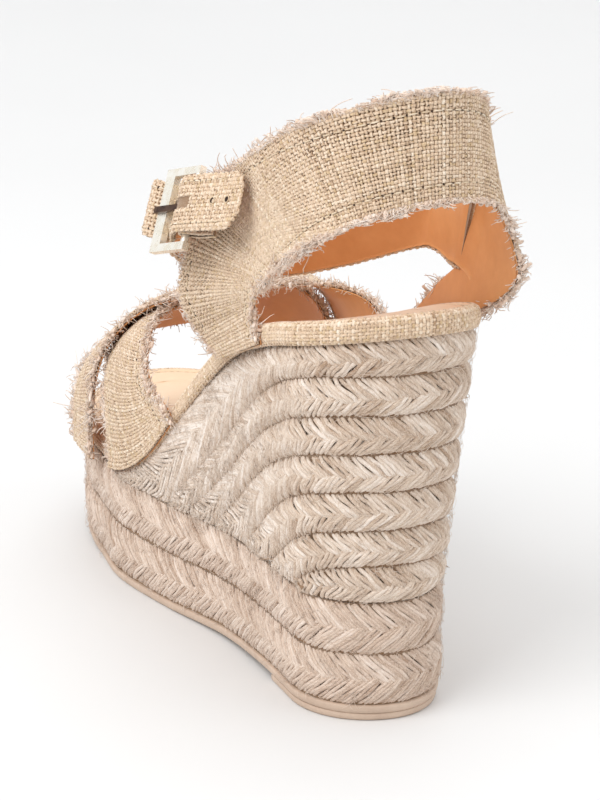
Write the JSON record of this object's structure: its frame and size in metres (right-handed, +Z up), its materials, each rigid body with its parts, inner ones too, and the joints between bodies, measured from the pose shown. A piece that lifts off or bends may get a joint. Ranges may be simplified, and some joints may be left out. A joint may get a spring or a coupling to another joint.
{
  "type": "wedge sandal",
  "caption": "High espadrille wedge sandal for the left foot: braided jute platform and wedge, crossed frayed fabric vamp bands, wide heel band and a buckled ankle strap.",
  "frame": {"origin": "on the floor under the middle of the heel, on the underside of the heel pad", "axes": "+Y towards the toe, +X towards the inner (medial) side of the foot, +Z up"},
  "size_m": [0.0943, 0.2345, 0.1961],
  "materials": {
    "outsole_rubber": "moulded beige rubber, satin",
    "core_cork": "pressed cork composition, never seen",
    "jute_platform": "flat braided jute, slightly darker and pinker",
    "jute_wedge": "flat braided jute, pale and fuzzy",
    "shank_steel": "plain rolled steel",
    "board_fibre": "pressed fibre board",
    "foam_pad": "soft foam",
    "sock_leather": "pale natural leather, matt",
    "band_cloth": "coarse basket weave of undyed raffia and linen yarn",
    "lining_leather": "smooth tan leather, semi matt",
    "buckle_metal": "polished pale gold plating"
  },
  "bodies": {
    "sandal": {"heel_pad": "outsole_rubber", "rubber_outsole": "outsole_rubber", "platform_core": "core_cork", "platform_braid_lower": "jute_platform", "platform_braid_upper": "jute_platform", "wedge_core": "core_cork", "wedge_braid_1": "jute_wedge", "wedge_braid_2": "jute_wedge", "wedge_braid_3": "jute_wedge", "wedge_braid_4": "jute_wedge", "wedge_braid_5": "jute_wedge", "wedge_braid_6": "jute_wedge", "wedge_braid_7": "jute_wedge", "steel_shank": "shank_steel", "insole_board": "board_fibre", "insole_foam": "foam_pad", "sock_lining": "sock_leather", "insole_binding": "band_cloth", "vamp_band_under": "band_cloth", "vamp_band_under_lining": "lining_leather", "vamp_band_over": "band_cloth", "vamp_band_over_lining": "lining_leather", "heel_band": "band_cloth", "heel_band_lining": "lining_leather", "ankle_strap": "band_cloth", "ankle_strap_lining": "lining_leather", "buckle_tab": "band_cloth"},
    "frame": {"buckle_frame": "buckle_metal"},
    "prong": {"buckle_prong": "buckle_metal"},
    "strap_tail": {"strap_end": "band_cloth"}
  },
  "joints": [
    {"name": "frame_tilt", "type": "hinge", "parent": "sandal", "child": "frame", "pos_m": [-0.0426, 0.036, 0.1478], "axis": [0.3735, 0.3576, 0.8559], "range_deg": [0, 25]},
    {"name": "prong_lift", "type": "hinge", "parent": "frame", "child": "prong", "pos_m": [-0.0426, 0.036, 0.1478], "axis": [0.3735, 0.3576, 0.8559], "range_deg": [0, 65]},
    {"name": "strap_tail_lift", "type": "hinge", "parent": "sandal", "child": "strap_tail", "pos_m": [-0.04477, 0.02815, 0.15203], "axis": [-0.3735, -0.3576, -0.8559], "range_deg": [0, 45]}
  ]
}
